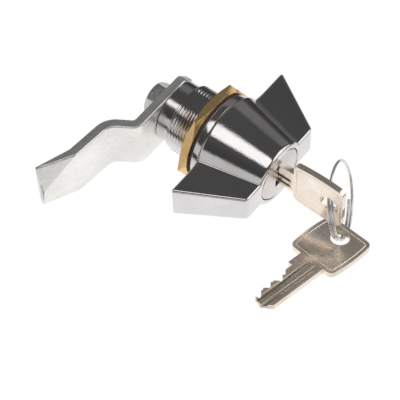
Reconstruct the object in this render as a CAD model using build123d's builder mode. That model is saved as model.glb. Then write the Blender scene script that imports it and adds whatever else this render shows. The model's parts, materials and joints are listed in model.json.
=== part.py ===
import os
from math import cos, hypot, radians

from build123d import *

os.makedirs("parts", exist_ok=True)

# A wing-knob cam lock for a panel door, with its keys on a split ring.
# The lock's axis is Y: the knob and the key are at -Y and the cam is at +Y.
# The origin is on that axis, where the flange's rear face meets the panel. All sizes are millimetres.

# Running clearances
sliding_gap = 0.1
running_gap = 0.05
face_gap = 0.1

# Housing: flange outside the panel, threaded body through it, smooth nose at the rear
body_radius = 11.0
body_flat_half = 10.3
flange_width = 3.25
flange_thickness = 2.3
flange_edge_round = 0.35
thread_end = 12.0
thread_end_chamfer = 0.7
nose_radius = 9.8
nose_end = 16.5
side_groove_width = 3.4
side_groove_depth = 0.5
side_groove_level = -1.7

# Gasket and nut
gasket_thickness = 0.8
gasket_inset = 0.15
nut_across_flats = 29.4
nut_thickness = 2.65
nut_chamfer = 1.1

# Wing knob
knob_rear = -2.6
cone_rear_radius = 15.2
cone_front_radius = 10.5
cone_edge_round = 0.5
wing_rear_reach = 26.7
wing_front_reach = 15.8
wing_rear_inset = 0.5
wing_rear_thickness = 12.0
wing_front_thickness = 10.0
wing_corner_round = 2.2
wing_edge_round = 0.7
knob_web_thickness = 1.6
knob_boss_height = 0.35

# Lock barrel, plug and wafers
barrel_wall = 1.75
plug_radius = 7.0
plug_head_radius = 8.6
plug_head_length = 1.5
plug_face_chamfer = 0.25
plug_rear_wall = 0.9
wafer_count = 6
wafer_width = 6.0
wafer_thickness = 1.0
wafer_half_height = 6.1
wafer_pitch = 2.2
wafer_first_setback = 2.0
wafer_travel = 0.8
wafer_lug_length = 1.8
wafer_lug_height = 1.2
wafer_lug_level = 2.6
spring_radius = 0.42
spring_length = 4.0
clip_width = 1.3
clip_thickness = 0.6
clip_depth = 0.7

# Driver pin and locking bolt
driver_radius = 3.0
driver_pin_radius = 0.8
driver_pin_throw = 1.414
bolt_travel = 2.0
bolt_half_width = 3.0
bolt_thickness = 1.5
bolt_tip = 7.9
bolt_tail = -3.2
notch_depth_past_bolt = 1.2

# Spindle that carries the cam
spindle_head_radius = 8.6
spindle_head_rear = 1.4
spindle_radius = 6.0
spindle_square = 8.0
stop_lug_reach = 1.3
stop_lug_width = 3.0
washer_thickness = 0.4
seal_station = 11.0
seal_wire_radius = 0.48
seal_groove_depth = 1.0
knob_screw_offset = 5.7
knob_screw_radius = 1.25
knob_screw_head_radius = 2.2
knob_screw_length = 4.6

# Cam, bent from strip
cam_thickness = 3.0
cam_width = 18.0
cam_front = 16.6
cam_end_reach = 8.5
cam_flat_reach = 16.0
cam_crank_run = 4.2
cam_crank_rise = 5.7
cam_middle_run = 12.1
cam_middle_rise = 1.07
cam_tip_run = 12.6
cam_tip_rise = 4.6
cam_bend_radius = 2.2
cam_end_corner = 3.2
cam_tip_bevel = 2.3

# Cam screw and its spring washer
cam_screw_radius = 3.0
cam_screw_length = 12.0
cam_screw_across_flats = 10.0
cam_screw_head_height = 4.0
spring_washer_thickness = 1.2
spring_washer_radius = 5.0
spring_washer_split = 0.9

# Keys
key_thickness = 1.8
key_blade_height = 7.4
key_blade_bottom = -3.3
key_blade_length = 17.2
key_tip_slope = 2.6
key_neck_length = 5.3
key_shoulder_height = 1.6
key_bow_length = 17.3
key_bow_width = 16.6
key_bow_centre = 1.9
key_bow_bulge = 0.7
key_bow_corner = 2.0
key_hole_radius = 2.9
key_hole_setback = 4.8
key_cut_depths = (1.2, 2.2, 0.8, 1.8, 1.0, 2.4)
key_groove_height = 1.3
key_groove_cut = 0.35
key_groove_levels = (-1.3, 1.4)
keyway_gap = 0.2

# Where the spare key hangs in the photograph: its shoulder, and the way its blade and its face point
spare_shoulder = (-18.2, -44.1, -11.0)
spare_blade_direction = (-0.961, 0.172, 0.217)
spare_face_normal = (-0.15, -0.11, -0.982)

# Split ring: two turns of wire through both keys' holes, and the way its face points
ring_radius = 11.7
ring_face_direction = (-0.41, 0.82, -0.39)
ring_wire_radius = 0.5
ring_turn_gap = 0.05
ring_turns = 2


def across(y):
    """A plane across the lock's axis at station y: its own axes are X and Z, and it extrudes towards -Y."""
    return Plane(origin=(0, y, 0), x_dir=(1, 0, 0), z_dir=(0, -1, 0))


def save(block, name):
    """Labels a finished piece and writes it as its own file."""
    block.part.label = name
    export_step(block.part, f"parts/{name}.step")


# Stations along the axis, worked out from the sizes above
flange_front = -flange_thickness
flange_radius = body_radius + flange_width
gasket_radius = flange_radius - gasket_inset
knob_boss_rear = knob_rear + knob_boss_height
barrel_bore = plug_radius + running_gap
barrel_radius = barrel_bore + barrel_wall
knob_bore = barrel_radius + running_gap
web_front = knob_rear - knob_web_thickness
plug_rear = web_front - face_gap
keyway_rear = plug_rear - plug_rear_wall
key_shoulder = keyway_rear - keyway_gap - key_blade_length
knob_front = key_shoulder + face_gap
plug_head_rear = knob_front + plug_head_length
clip_rear = plug_rear - face_gap
barrel_front = plug_head_rear + face_gap
barrel_rear = clip_rear - clip_thickness - face_gap
bolt_front = knob_boss_rear + face_gap
bolt_rear = bolt_front + bolt_thickness
bolt_slot_floor = bolt_rear + face_gap
counterbore_radius = spindle_head_radius + sliding_gap
counterbore_floor = spindle_head_rear + washer_thickness + 2 * face_gap
spindle_bore = spindle_radius + running_gap
cam_rear = cam_front + cam_thickness
screw_head_front = cam_rear + spring_washer_thickness
nut_front = gasket_thickness + running_gap
nut_rear = nut_front + nut_thickness

# Housing
with BuildPart() as housing:
    with BuildSketch(Plane.XY):
        with BuildLine():
            Polyline(
                (counterbore_radius, flange_front),
                (flange_radius, flange_front),
                (flange_radius, 0),
                (body_radius, 0),
                (body_radius, thread_end - thread_end_chamfer),
                (body_radius - thread_end_chamfer, thread_end),
                (nose_radius, thread_end),
                (nose_radius, nose_end),
                (spindle_bore, nose_end),
                (spindle_bore, counterbore_floor),
                (counterbore_radius, counterbore_floor),
                close=True,
            )
        make_face()
    revolve(axis=Axis.Y)
    fillet(housing.edges().filter_by(GeomType.CIRCLE).group_by(SortBy.RADIUS)[-1], flange_edge_round)
    # Flats on the body, which keep it from turning in the panel's hole
    with BuildSketch(across(thread_end)):
        with Locations((0, body_radius), (0, -body_radius)):
            Rectangle(2 * body_radius, 2 * (body_radius - body_flat_half))
    extrude(amount=thread_end, mode=Mode.SUBTRACT)
    # Long groove down one side of the thread
    with BuildSketch(across(thread_end)):
        with Locations((-body_radius, side_groove_level)):
            Rectangle(2 * side_groove_depth, side_groove_width)
    extrude(amount=thread_end, mode=Mode.SUBTRACT)
    # Notches that the bolt drops into, a quarter turn apart, and the slot that stops the spindle
    with BuildSketch(across(bolt_slot_floor)):
        notch_reach = bolt_tip + bolt_travel + notch_depth_past_bolt
        notch_width = 2 * (bolt_half_width + sliding_gap)
        with Locations((0, notch_reach / 2)):
            Rectangle(notch_width, notch_reach)
        with Locations((notch_reach / 2, 0)):
            Rectangle(notch_reach, notch_width)
    extrude(amount=bolt_slot_floor - flange_front, mode=Mode.SUBTRACT)
    with BuildSketch(across(bolt_slot_floor)):
        Circle(spindle_head_radius + stop_lug_reach + sliding_gap)
        with BuildLine():
            lug_side = stop_lug_width / 2 + sliding_gap
            far = 2 * body_radius
            Polyline((lug_side, 0), (lug_side, -far), (-far, -far), (-far, lug_side), (0, lug_side), close=True)
        make_face(mode=Mode.INTERSECT)
    extrude(amount=bolt_slot_floor - flange_front, mode=Mode.SUBTRACT)
save(housing, "housing")

# Gasket between flange and panel
with BuildPart() as gasket:
    with BuildSketch(across(gasket_thickness)):
        Circle(gasket_radius)
        Circle(body_radius + sliding_gap, mode=Mode.SUBTRACT)
    extrude(amount=gasket_thickness)
save(gasket, "gasket")

# Hexagon nut with chamfered corners, its points to the left and right
with BuildPart() as hex_nut:
    with BuildSketch(across(nut_rear)):
        RegularPolygon(nut_across_flats / 2, 6, major_radius=False)
        Circle(body_radius + running_gap, mode=Mode.SUBTRACT)
    extrude(amount=nut_thickness)
    nut_point_radius = nut_across_flats / 2 / cos(radians(30))
    with BuildSketch(Plane.XY):
        with BuildLine():
            Polyline(
                (0, nut_front),
                (nut_across_flats / 2, nut_front),
                (nut_point_radius, nut_front + nut_chamfer),
                (nut_point_radius, nut_rear - nut_chamfer),
                (nut_across_flats / 2, nut_rear),
                (0, nut_rear),
                close=True,
            )
        make_face()
    revolve(axis=Axis.Y, mode=Mode.INTERSECT)
save(hex_nut, "hex_nut")

# Wing knob: a cone with two flat wings, bored for the lock barrel
with BuildPart() as wing_knob:
    # Plan of both wings, seen along Z
    with BuildSketch(Plane.XY.offset(-wing_rear_thickness / 2)):
        with BuildLine():
            Polyline(
                (wing_front_reach, knob_front),
                (wing_rear_reach, knob_rear - wing_rear_inset),
                (-wing_rear_reach, knob_rear - wing_rear_inset),
                (-wing_front_reach, knob_front),
                close=True,
            )
        make_face()
        fillet(vertices(), wing_corner_round)
    extrude(amount=wing_rear_thickness)
    # The wings get thinner towards the front
    with BuildSketch(Plane.YZ.offset(-wing_rear_reach)):
        with BuildLine():
            Polyline(
                (knob_front, -wing_front_thickness / 2),
                (knob_rear, -wing_rear_thickness / 2),
                (knob_rear, wing_rear_thickness / 2),
                (knob_front, wing_front_thickness / 2),
                close=True,
            )
        make_face()
    extrude(amount=2 * wing_rear_reach, mode=Mode.INTERSECT)
    fillet(wing_knob.edges(), wing_edge_round)
    # The cone between the wings
    with BuildSketch(Plane.XY):
        with BuildLine():
            Polyline(
                (0, knob_front),
                (cone_front_radius, knob_front),
                (cone_rear_radius, knob_rear),
                (0, knob_rear),
                close=True,
            )
        make_face()
        fillet(vertices().group_by(Axis.X)[1:], cone_edge_round)
    revolve(axis=Axis.Y)
    # Round boss that meets the spindle through the open front of the flange
    with BuildSketch(across(knob_boss_rear)):
        Circle(spindle_head_radius - sliding_gap)
    extrude(amount=knob_boss_height + knob_web_thickness)
    # Bore for barrel and plug head, down to the web
    with BuildSketch(across(web_front)):
        Circle(knob_bore)
    extrude(amount=web_front - knob_front, mode=Mode.SUBTRACT)
    # Hole through the web for the driver
    with BuildSketch(across(knob_boss_rear)):
        Circle(driver_radius + sliding_gap)
    extrude(amount=knob_boss_rear - web_front, mode=Mode.SUBTRACT)
    with BuildSketch(Plane.XY):
        with BuildLine():
            screw_side = knob_screw_offset + knob_screw_radius
            head_side = knob_screw_offset + knob_screw_head_radius
            head_depth = knob_screw_head_radius - knob_screw_radius
            Polyline(
                (knob_screw_offset, web_front),
                (head_side, web_front),
                (screw_side, web_front + head_depth),
                (screw_side, knob_boss_rear),
                (knob_screw_offset, knob_boss_rear),
                close=True,
            )
        make_face()
    revolve(axis=Axis((knob_screw_offset, 0, 0), (0, 1, 0)), mode=Mode.SUBTRACT)
    with BuildSketch(Plane.XY):
        with BuildLine():
            Polyline(
                (-knob_screw_offset, web_front),
                (-head_side, web_front),
                (-screw_side, web_front + head_depth),
                (-screw_side, knob_boss_rear),
                (-knob_screw_offset, knob_boss_rear),
                close=True,
            )
        make_face()
    revolve(axis=Axis((-knob_screw_offset, 0, 0), (0, 1, 0)), mode=Mode.SUBTRACT)
save(wing_knob, "wing_knob")

# Two countersunk screws that hold the spindle to the knob
with BuildPart() as knob_screws:
    with BuildSketch(Plane.XY):
        with BuildLine():
            Polyline(
                (knob_screw_offset, web_front),
                (head_side, web_front),
                (screw_side, web_front + head_depth),
                (screw_side, web_front + knob_screw_length),
                (knob_screw_offset, web_front + knob_screw_length),
                close=True,
            )
        make_face()
    revolve(axis=Axis((knob_screw_offset, 0, 0), (0, 1, 0)))
    mirror(about=Plane.YZ)
save(knob_screws, "knob_screws")

# Lock barrel: a sleeve with four long grooves that the wafers lock into
with BuildPart() as lock_barrel:
    with BuildSketch(across(barrel_rear)):
        Circle(barrel_radius)
        Circle(barrel_bore, mode=Mode.SUBTRACT)
    extrude(amount=barrel_rear - barrel_front)
    groove_reach = hypot(wafer_half_height + wafer_travel, wafer_width / 2) + 2 * sliding_gap
    groove_front = plug_head_rear + wafer_first_setback / 2
    groove_rear = barrel_rear - wafer_thickness
    with BuildSketch(across(groove_rear)):
        Rectangle(wafer_width + 3 * sliding_gap, 2 * barrel_radius)
        Rectangle(2 * barrel_radius, wafer_width + 3 * sliding_gap)
        Circle(groove_reach, mode=Mode.INTERSECT)
    extrude(amount=groove_rear - groove_front, mode=Mode.SUBTRACT)
save(lock_barrel, "lock_barrel")

# Wafers: three ride up out of the plug when the key is drawn and three ride down, turn about
wafer_fronts = [plug_head_rear + wafer_first_setback + i * wafer_pitch for i in range(wafer_count)]
blade_top = key_blade_bottom + key_blade_height
window_top = blade_top + wafer_travel + sliding_gap
window_bottom = key_blade_bottom - wafer_travel - sliding_gap
lug_reach = wafer_width / 2 + wafer_lug_length
spring_offset = lug_reach - wafer_lug_length / 2

# Plug: a round head, a body with the keyway and a crosswise slot for each wafer
with BuildPart() as plug:
    with BuildSketch(Plane.XY):
        with BuildLine():
            clip_groove_radius = plug_radius - clip_depth
            Polyline(
                (0, knob_front),
                (plug_head_radius - plug_face_chamfer, knob_front),
                (plug_head_radius, knob_front + plug_face_chamfer),
                (plug_head_radius, plug_head_rear),
                (plug_radius, plug_head_rear),
                (plug_radius, clip_rear - clip_thickness - face_gap / 2),
                (clip_groove_radius, clip_rear - clip_thickness - face_gap / 2),
                (clip_groove_radius, clip_rear),
                (plug_radius, clip_rear),
                (plug_radius, plug_rear),
                (0, plug_rear),
                close=True,
            )
        make_face()
    revolve(axis=Axis.Y)
    with BuildSketch(across(keyway_rear)):
        with Locations((0, key_blade_bottom + key_blade_height / 2)):
            Rectangle(key_thickness + 2 * keyway_gap, key_blade_height + 2 * keyway_gap)
    extrude(amount=keyway_rear - knob_front, mode=Mode.SUBTRACT)
    for number, front in enumerate(wafer_fronts):
        side = 1 if number % 2 == 0 else -1
        lug_slot_height = wafer_lug_height + wafer_travel + 2 * sliding_gap
        with BuildSketch(across(front + wafer_thickness + running_gap)):
            Rectangle(wafer_width + 2 * sliding_gap, 2 * plug_radius)
            with Locations((side * lug_reach / 2, side * (wafer_lug_level + wafer_travel / 2))):
                Rectangle(lug_reach + 2 * sliding_gap, lug_slot_height)
        extrude(amount=wafer_thickness + 2 * running_gap, mode=Mode.SUBTRACT)
        # Pocket for this wafer's spring
        spring_plane = Plane(
            origin=(side * spring_offset, front + wafer_thickness / 2, side * wafer_lug_level),
            z_dir=(0, 0, -side),
        )
        with BuildSketch(spring_plane):
            Circle(spring_radius + running_gap)
        extrude(amount=wafer_lug_height / 2 + sliding_gap + spring_length, mode=Mode.SUBTRACT)
save(plug, "plug")


for number, front in enumerate(wafer_fronts):
    side = 1 if number % 2 == 0 else -1
    with BuildPart() as wafer:
        with BuildSketch(across(front + wafer_thickness)):
            Rectangle(wafer_width, 2 * wafer_half_height)
            with Locations((side * lug_reach / 2, side * wafer_lug_level)):
                Rectangle(lug_reach, wafer_lug_height)
            with Locations((0, (window_top + window_bottom) / 2)):
                Rectangle(key_thickness + 4 * keyway_gap, window_top - window_bottom, mode=Mode.SUBTRACT)
        extrude(amount=wafer_thickness)
    save(wafer, f"wafer_{number + 1}")

# One coil spring beside each wafer, drawn as its outer tube
with BuildPart() as wafer_springs:
    for number, front in enumerate(wafer_fronts):
        side = 1 if number % 2 == 0 else -1
        spring_top = side * (wafer_lug_level - wafer_lug_height / 2 - sliding_gap / 2)
        spring_plane = Plane(
            origin=(side * spring_offset, front + wafer_thickness / 2, spring_top),
            z_dir=(0, 0, -side),
        )
        with BuildSketch(spring_plane):
            Circle(spring_radius)
            Circle(spring_radius / 2, mode=Mode.SUBTRACT)
        extrude(amount=spring_length)
save(wafer_springs, "wafer_springs")

# Open clip that holds the plug in the barrel
with BuildPart() as plug_clip:
    with BuildSketch(across(clip_rear - face_gap / 2)):
        Circle(clip_groove_radius + running_gap + clip_width)
        Circle(clip_groove_radius + running_gap, mode=Mode.SUBTRACT)
        with Locations((0, -clip_groove_radius)):
            Rectangle(clip_groove_radius, 2 * clip_groove_radius, mode=Mode.SUBTRACT)
    extrude(amount=clip_thickness)
save(plug_clip, "plug_clip")

# Driver: a disc on the plug's tail with an off-centre pin that moves the bolt
pin_start = driver_pin_throw * cos(radians(45))
with BuildPart() as plug_driver:
    with BuildSketch(across(knob_boss_rear)):
        Circle(driver_radius)
    extrude(amount=knob_boss_rear - plug_rear)
    with BuildSketch(across(bolt_rear)):
        with Locations((-pin_start, -pin_start)):
            Circle(driver_pin_radius)
    extrude(amount=bolt_rear - knob_boss_rear)
save(plug_driver, "plug_driver")

# Locking bolt: slides out of the spindle's head into a notch of the flange
with BuildPart() as locking_bolt:
    with BuildSketch(across(bolt_rear)):
        with Locations((0, (bolt_tip + bolt_tail) / 2)):
            Rectangle(2 * bolt_half_width, bolt_tip - bolt_tail)
        pin_play = driver_pin_radius + sliding_gap
        with Locations((-(pin_start + driver_pin_throw) / 2, -pin_start)):
            Rectangle(driver_pin_throw - pin_start + 2 * pin_play, 2 * pin_play, mode=Mode.SUBTRACT)
    extrude(amount=bolt_thickness)
save(locking_bolt, "locking_bolt")

# Spindle: head with the bolt's slot and the stop lug, shaft, and square for the cam
with BuildPart() as spindle:
    square_rear = cam_rear - running_gap
    with BuildSketch(Plane.XY):
        with BuildLine():
            groove_floor = spindle_radius - seal_groove_depth
            seal_half = seal_wire_radius + running_gap
            Polyline(
                (0, knob_boss_rear),
                (spindle_head_radius, knob_boss_rear),
                (spindle_head_radius, spindle_head_rear),
                (spindle_radius, spindle_head_rear),
                (spindle_radius, seal_station - seal_half),
                (groove_floor, seal_station - seal_half),
                (groove_floor, seal_station + seal_half),
                (spindle_radius, seal_station + seal_half),
                (spindle_radius, cam_front),
                (0, cam_front),
                close=True,
            )
        make_face()
    revolve(axis=Axis.Y)
    with BuildSketch(across(square_rear)):
        Rectangle(spindle_square, spindle_square)
    extrude(amount=square_rear - cam_front)
    # Stop lug, which starts at the bottom and runs a quarter turn
    with BuildSketch(across(bolt_rear)):
        Circle(spindle_head_radius + stop_lug_reach)
        with Locations((0, -spindle_head_radius)):
            Rectangle(stop_lug_width, 4 * stop_lug_reach, mode=Mode.INTERSECT)
    extrude(amount=bolt_thickness)
    # Slot for the bolt, open at the top
    with BuildSketch(across(bolt_slot_floor)):
        slot_bottom = bolt_tail - sliding_gap
        with Locations((0, (slot_bottom + 2 * spindle_head_radius) / 2)):
            Rectangle(2 * (bolt_half_width + sliding_gap), 2 * spindle_head_radius - slot_bottom)
    extrude(amount=bolt_slot_floor - knob_boss_rear, mode=Mode.SUBTRACT)
    # Holes for the knob screws and the cam screw
    with BuildSketch(across(spindle_head_rear)):
        with Locations((knob_screw_offset, 0), (-knob_screw_offset, 0)):
            Circle(knob_screw_radius)
    extrude(amount=spindle_head_rear - knob_boss_rear, mode=Mode.SUBTRACT)
    with BuildSketch(across(square_rear)):
        Circle(cam_screw_radius)
    extrude(amount=cam_screw_length, mode=Mode.SUBTRACT)
save(spindle, "spindle")

# Thrust washer behind the spindle's head
with BuildPart() as thrust_washer:
    with BuildSketch(across(spindle_head_rear + face_gap + washer_thickness)):
        Circle(spindle_head_radius - sliding_gap)
        Circle(spindle_radius + 3 * sliding_gap, mode=Mode.SUBTRACT)
    extrude(amount=washer_thickness)
save(thrust_washer, "thrust_washer")

# Rubber ring in the spindle's groove
with BuildPart() as spindle_seal:
    with BuildSketch(Plane.XY):
        with Locations((groove_floor + seal_wire_radius, seal_station)):
            Circle(seal_wire_radius)
    revolve(axis=Axis.Y)
save(spindle_seal, "spindle_seal")

# Cam: strip bent back behind the frame, with a bevelled tip
crank_start = -cam_flat_reach
crank_end = (crank_start - cam_crank_run, cam_front + cam_crank_rise)
tip_start = (crank_end[0] - cam_middle_run, crank_end[1] + cam_middle_rise)
tip_end = (tip_start[0] - cam_tip_run, tip_start[1] + cam_tip_rise)
with BuildPart() as cam:
    with BuildSketch(Plane.XY.offset(-cam_width / 2)):
        with BuildLine():
            FilletPolyline(
                (cam_end_reach, cam_front),
                (crank_start, cam_front),
                crank_end,
                tip_start,
                tip_end,
                radius=cam_bend_radius,
            )
            offset(amount=cam_thickness, side=Side.RIGHT)
        make_face()
    extrude(amount=cam_width)
    # Plan of the strip: cut corners at both ends
    with BuildSketch(across(cam_rear + cam_crank_rise + cam_middle_rise + cam_tip_rise)):
        with BuildLine():
            half = cam_width / 2
            tip_x = tip_end[0] - cam_thickness
            Polyline(
                (cam_end_reach, half - cam_end_corner),
                (cam_end_reach - cam_end_corner, half),
                (tip_x, half),
                (tip_x, -half),
                (cam_end_reach - cam_end_corner, -half),
                (cam_end_reach, cam_end_corner - half),
                close=True,
            )
        make_face()
    extrude(amount=2 * cam_rear, mode=Mode.INTERSECT)
    # Square hole for the spindle
    with BuildSketch(across(cam_rear)):
        Rectangle(spindle_square + 2 * running_gap, spindle_square + 2 * running_gap)
    extrude(amount=cam_thickness, mode=Mode.SUBTRACT)
    # Two sloping bevels that leave a low ridge along the middle of the tip
    tip_middle = Vector(tip_end[0], tip_end[1], 0)
    for side in (1, -1):
        edge_start = Vector(tip_start[0], tip_start[1], side * half)
        tip_corner = Vector(tip_end[0], tip_end[1] + cam_tip_bevel, side * half)
        slope_normal = (edge_start - tip_middle).cross(tip_corner - tip_middle) * side
        bevel_plane = Plane(origin=tip_corner, x_dir=edge_start - tip_middle, z_dir=slope_normal)
        with BuildSketch(bevel_plane):
            Rectangle(2 * cam_width, 2 * cam_width)
        extrude(amount=cam_tip_rise, mode=Mode.SUBTRACT)
save(cam, "cam")

# Split spring washer under the cam screw
with BuildPart() as spring_washer:
    with BuildSketch(across(screw_head_front)):
        Circle(spring_washer_radius)
        Circle(cam_screw_radius + sliding_gap, mode=Mode.SUBTRACT)
        with Locations((-spring_washer_radius, 0)):
            Rectangle(2 * spring_washer_radius, spring_washer_split, mode=Mode.SUBTRACT)
    extrude(amount=spring_washer_thickness)
save(spring_washer, "spring_washer")

# Hexagon screw that holds the cam
with BuildPart() as cam_screw:
    screw_head_rear = screw_head_front + cam_screw_head_height
    screw_chamfer = cam_screw_head_height / 8
    with BuildSketch(across(screw_head_rear)):
        RegularPolygon(cam_screw_across_flats / 2, 6, major_radius=False, rotation=15)
    extrude(amount=cam_screw_head_height)
    with BuildSketch(Plane.XY):
        with BuildLine():
            screw_point_radius = cam_screw_across_flats / 2 / cos(radians(30))
            Polyline(
                (0, screw_head_front),
                (screw_point_radius, screw_head_front),
                (screw_point_radius, screw_head_rear - screw_chamfer),
                (cam_screw_across_flats / 2, screw_head_rear),
                (0, screw_head_rear),
                close=True,
            )
        make_face()
    revolve(axis=Axis.Y, mode=Mode.INTERSECT)
    with BuildSketch(across(screw_head_front)):
        Circle(cam_screw_radius - running_gap / 2)
    extrude(amount=cam_screw_length - spring_washer_thickness)
save(cam_screw, "cam_screw")


# Both keys come from one outline. In it the blade points along X from the shoulder, and the cuts face Y.
def key_solid(shoulder_plane, name):
    """Builds a key on a plane that lies in the middle of its thickness, and saves it."""
    neck_top = blade_top + key_shoulder_height
    bow_near = -key_neck_length
    bow_far = bow_near - key_bow_length
    bow_low = key_bow_centre - key_bow_width / 2
    bow_high = key_bow_centre + key_bow_width / 2
    bow_middle = (bow_near + bow_far) / 2
    with BuildPart() as key:
        with BuildSketch(shoulder_plane.offset(-key_thickness / 2)):
            # Bow with bowed long sides
            with BuildLine():
                Line((bow_near, bow_low), (bow_near, bow_high))
                ThreePointArc((bow_near, bow_high), (bow_middle, bow_high + key_bow_bulge), (bow_far, bow_high))
                Line((bow_far, bow_high), (bow_far, bow_low))
                ThreePointArc((bow_far, bow_low), (bow_middle, bow_low - key_bow_bulge), (bow_near, bow_low))
            make_face()
            fillet(vertices(), key_bow_corner)
            with Locations((bow_far + key_hole_setback, key_bow_centre)):
                Circle(key_hole_radius, mode=Mode.SUBTRACT)
            # Neck and blade
            with BuildLine():
                blade_end = key_blade_length
                Polyline(
                    (bow_near - key_bow_corner, key_blade_bottom),
                    (blade_end - key_tip_slope, key_blade_bottom),
                    (blade_end, key_blade_bottom + key_tip_slope),
                    (blade_end - key_tip_slope / 2, blade_top),
                    (0, blade_top),
                    (0, neck_top),
                    (bow_near - key_bow_corner, neck_top),
                    close=True,
                )
            make_face()
            # Cuts in the blade's edge, one for each wafer
            first_cut = plug_head_rear + wafer_first_setback + wafer_thickness / 2 - key_shoulder
            for number, depth in enumerate(key_cut_depths):
                cut_centre = first_cut + number * wafer_pitch
                with BuildLine():
                    Polyline(
                        (cut_centre - depth - wafer_thickness / 4, blade_top),
                        (cut_centre - wafer_thickness / 4, blade_top - depth),
                        (cut_centre + wafer_thickness / 4, blade_top - depth),
                        (cut_centre + depth + wafer_thickness / 4, blade_top),
                        close=True,
                    )
                make_face(mode=Mode.SUBTRACT)
        extrude(amount=key_thickness)
        # Two long grooves down each face of the blade
        for face_offset in (key_thickness / 2 - key_groove_cut, -key_thickness / 2):
            with BuildSketch(shoulder_plane.offset(face_offset)):
                for level in key_groove_levels:
                    with Locations((key_blade_length / 2, level)):
                        Rectangle(key_blade_length + 2 * key_neck_length / 3, key_groove_height)
            extrude(amount=key_groove_cut, mode=Mode.SUBTRACT)
    save(key, name)
    return shoulder_plane.from_local_coords(Vector(bow_far + key_hole_setback, key_bow_centre, 0))


inserted_plane = Plane(origin=(0, key_shoulder, 0), x_dir=(0, 1, 0), z_dir=(1, 0, 0))
spare_plane = Plane(origin=spare_shoulder, x_dir=spare_blade_direction, z_dir=spare_face_normal)
inserted_hole = key_solid(inserted_plane, "key")
spare_hole = key_solid(spare_plane, "spare_key")

# Split ring, on the circle that runs through the middle of both keys' holes
chord = spare_hole - inserted_hole
chord_direction = chord.normalized()
ring_face = Vector(ring_face_direction)
ring_normal = (ring_face - chord_direction * ring_face.dot(chord_direction)).normalized()
ring_side = chord_direction.cross(ring_normal)
ring_offset = (ring_radius**2 - (chord.length / 2) ** 2) ** 0.5
ring_centre = (inserted_hole + spare_hole) * 0.5 + ring_side * ring_offset
with BuildPart() as key_ring:
    ring_pitch = 2 * ring_wire_radius + ring_turn_gap
    ring_height = ring_pitch * ring_turns
    ring_base = ring_centre - ring_normal * (ring_height / 2)
    with BuildLine() as ring_path:
        Helix(ring_pitch, ring_height, ring_radius, center=ring_base, direction=ring_normal)
    with BuildSketch(Plane(origin=ring_path.line @ 0, z_dir=ring_path.line % 0)):
        Circle(ring_wire_radius)
    sweep(is_frenet=True)
save(key_ring, "key_ring")
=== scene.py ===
import json
import math

import bmesh
import bpy
import numpy as np
from mathutils import Matrix, Vector


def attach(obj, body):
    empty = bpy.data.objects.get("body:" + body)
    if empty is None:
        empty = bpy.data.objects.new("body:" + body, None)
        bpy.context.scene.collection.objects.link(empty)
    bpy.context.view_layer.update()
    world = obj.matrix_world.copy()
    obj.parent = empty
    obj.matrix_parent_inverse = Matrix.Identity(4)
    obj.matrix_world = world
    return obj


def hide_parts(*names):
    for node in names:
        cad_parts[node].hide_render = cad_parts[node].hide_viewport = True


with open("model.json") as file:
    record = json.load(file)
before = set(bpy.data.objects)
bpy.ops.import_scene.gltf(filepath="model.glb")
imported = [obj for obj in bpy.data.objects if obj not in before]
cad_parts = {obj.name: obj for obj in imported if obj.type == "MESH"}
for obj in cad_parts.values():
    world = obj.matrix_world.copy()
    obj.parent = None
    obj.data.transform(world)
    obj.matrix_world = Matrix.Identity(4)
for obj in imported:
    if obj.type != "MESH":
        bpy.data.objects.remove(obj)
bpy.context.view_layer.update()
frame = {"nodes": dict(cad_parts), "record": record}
cadNodes = frame["nodes"]
print("frame loaded:", len(cadNodes), "nodes")

# All sizes below are millimetres in the lock's own frame: +Y runs from the knob to the cam, +Z is up.
mm = 0.001


# Shared mesh tools

def placeObject(name, data):
    item = bpy.data.objects.new(name, data)
    bpy.context.scene.collection.objects.link(item)
    return item


def unit(vector):
    return np.asarray(vector, float) / np.linalg.norm(vector)


def unitRows(rows):
    return rows / np.linalg.norm(rows, axis=1)[:, None]


def gridMesh(name, grid, closeRows=False, closeCols=False):
    # A surface from a grid of points (rows, columns, 3): each cell becomes one quad, and a closed way wraps
    # round to its start.
    rows, cols = grid.shape[:2]
    index = np.arange(rows * cols).reshape(rows, cols)
    if closeRows:
        index = np.vstack([index, index[:1]])
    if closeCols:
        index = np.hstack([index, index[:, :1]])
    quads = np.stack([index[:-1, :-1], index[:-1, 1:], index[1:, 1:], index[1:, :-1]], -1).reshape(-1, 4)
    mesh = bpy.data.meshes.new(name)
    mesh.vertices.add(rows * cols)
    mesh.vertices.foreach_set("co", (grid * mm).astype(np.float32).ravel())
    mesh.loops.add(quads.size)
    mesh.loops.foreach_set("vertex_index", quads.astype(np.int32).ravel())
    mesh.polygons.add(len(quads))
    mesh.polygons.foreach_set("loop_start", np.arange(0, quads.size, 4, dtype=np.int32))
    mesh.update(calc_edges=True)
    return mesh


def finishMesh(mesh, sharpAngle=38):
    # Merges doubled points, points the faces outwards and keeps edges crisp above the given angle.
    weld = 2e-6
    work = bmesh.new()
    work.from_mesh(mesh)
    bmesh.ops.remove_doubles(work, verts=work.verts, dist=weld)
    bmesh.ops.dissolve_degenerate(work, edges=work.edges, dist=weld / 4)
    bmesh.ops.recalc_face_normals(work, faces=work.faces)
    work.to_mesh(mesh)
    work.free()
    mesh.shade_smooth()
    mesh.set_sharp_from_angle(angle=math.radians(sharpAngle))
    return mesh


def addPiece(name, mesh, body, material, slotName, stands=()):
    piece = placeObject(name, mesh)
    mesh.materials.clear()
    mesh.materials.append(material)
    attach(piece, body)
    if stands:
        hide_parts(*stands)
    return piece


def joinMeshes(name, meshes):
    work = bmesh.new()
    for mesh in meshes:
        work.from_mesh(mesh)
    joined = bpy.data.meshes.new(name)
    work.to_mesh(joined)
    work.free()
    return joined


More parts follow.
